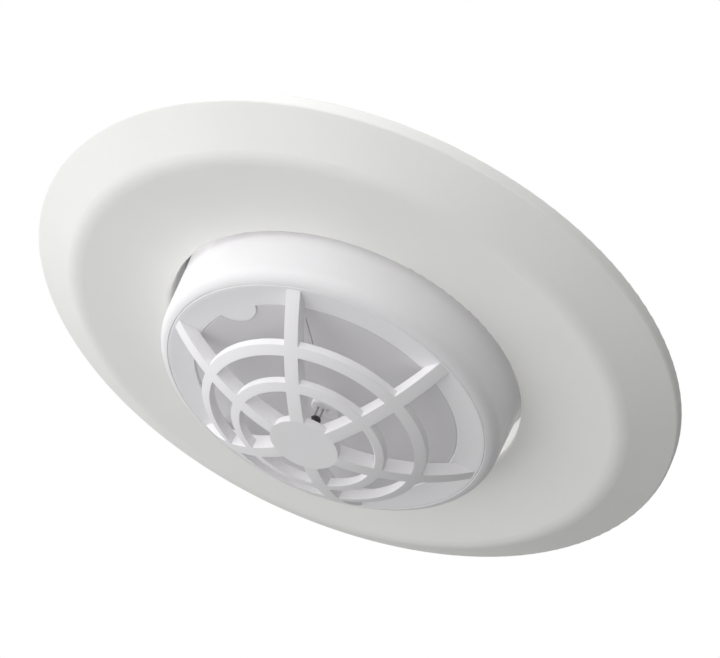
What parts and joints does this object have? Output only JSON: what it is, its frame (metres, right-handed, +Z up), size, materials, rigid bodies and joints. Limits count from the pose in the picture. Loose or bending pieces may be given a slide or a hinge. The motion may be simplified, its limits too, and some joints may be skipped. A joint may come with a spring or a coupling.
{
  "type": "recessed heat detector",
  "caption": "Round white ceiling detector: a caged twist-off head in a flush trim ring, with base, recess can and swing clamps above the ceiling line.",
  "frame": {"origin": "centre of the opening in the plane of the visible ceiling, where the trim ring's edge and the can's flange meet the ceiling", "axes": "+Z up into the ceiling, the detector faces -Z; one cage spoke points along +X"},
  "size_m": [0.19, 0.19, 0.067],
  "materials": {
    "cover_white": "satin moulded white",
    "plate_white": "matt moulded white",
    "trim_white": "satin moulded white",
    "can_grey": "matt moulded grey",
    "base_white": "matt moulded white",
    "dog_black": "glass-filled moulded black",
    "plated_steel": "zinc-plated",
    "spring_steel": "rolled strip",
    "brass": "stamped",
    "rubber_grey": "soft moulded",
    "foam_black": "closed-cell foam",
    "seal_grey": "soft moulded",
    "board_green": "solder mask",
    "chip_black": "moulded epoxy",
    "capacitor_aluminium": "brushed can",
    "resistor_black": "glazed",
    "bead_black": "dipped epoxy",
    "lead_tin": "tinned",
    "led_red": "clear tinted",
    "pipe_clear": "clear moulded"
  },
  "bodies": {
    "mounting": {"recess_can": "can_grey", "ceiling_gasket": "foam_black", "cable_grommet": "rubber_grey", "detector_base": "base_white", "base_screws": "plated_steel", "terminal_blocks": "brass", "terminal_plates": "plated_steel", "terminal_screws": "plated_steel", "spring_contacts": "brass"},
    "head": {"head_cover": "cover_white", "sensing_plate": "plate_white", "thermistor_holder": "plate_white", "thermistor_bead": "bead_black", "thermistor_leads": "lead_tin", "circuit_board": "board_green", "microcontroller": "chip_black", "capacitors": "capacitor_aluminium", "resistors": "resistor_black", "indicator_led": "led_red", "light_pipe": "pipe_clear", "board_screws": "plated_steel", "head_seal": "seal_grey", "head_backplate": "base_white", "cover_screws": "plated_steel", "contact_pads": "brass", "contact_pins": "brass"},
    "trim": {"trim_ring": "trim_white", "trim_clips": "spring_steel", "trim_clip_screws": "plated_steel"},
    "clamp_turn_1": {"clamp_screw_1": "plated_steel"},
    "clamp_grip_1": {"clamp_dog_1": "dog_black"},
    "clamp_turn_2": {"clamp_screw_2": "plated_steel"},
    "clamp_grip_2": {"clamp_dog_2": "dog_black"},
    "clamp_turn_3": {"clamp_screw_3": "plated_steel"},
    "clamp_grip_3": {"clamp_dog_3": "dog_black"}
  },
  "joints": [
    {"name": "head_twist", "type": "hinge", "parent": "mounting", "child": "head", "pos_m": [0, 0, 0.0045], "axis": [0, 0, -1], "range_deg": [0, 18]},
    {"name": "trim_pull", "type": "slide", "parent": "mounting", "child": "trim", "axis": [0, 0, -1], "range_m": [0, 0.06]},
    {"name": "clamp_swing_1", "type": "hinge", "parent": "mounting", "child": "clamp_turn_1", "pos_m": [0, 0.067, 0.004], "axis": [0, 0, 1], "range_deg": [0, 90]},
    {"name": "clamp_draw_1", "type": "slide", "parent": "clamp_turn_1", "child": "clamp_grip_1", "axis": [0, 0, 1], "range_m": [0, 0.006]},
    {"name": "clamp_swing_2", "type": "hinge", "parent": "mounting", "child": "clamp_turn_2", "pos_m": [-0.05802, -0.0335, 0.004], "axis": [0, 0, 1], "range_deg": [0, 90]},
    {"name": "clamp_draw_2", "type": "slide", "parent": "clamp_turn_2", "child": "clamp_grip_2", "axis": [0, 0, 1], "range_m": [0, 0.006]},
    {"name": "clamp_swing_3", "type": "hinge", "parent": "mounting", "child": "clamp_turn_3", "pos_m": [0.05802, -0.0335, 0.004], "axis": [0, 0, 1], "range_deg": [0, 90]},
    {"name": "clamp_draw_3", "type": "slide", "parent": "clamp_turn_3", "child": "clamp_grip_3", "axis": [0, 0, 1], "range_m": [0, 0.006]}
  ]
}
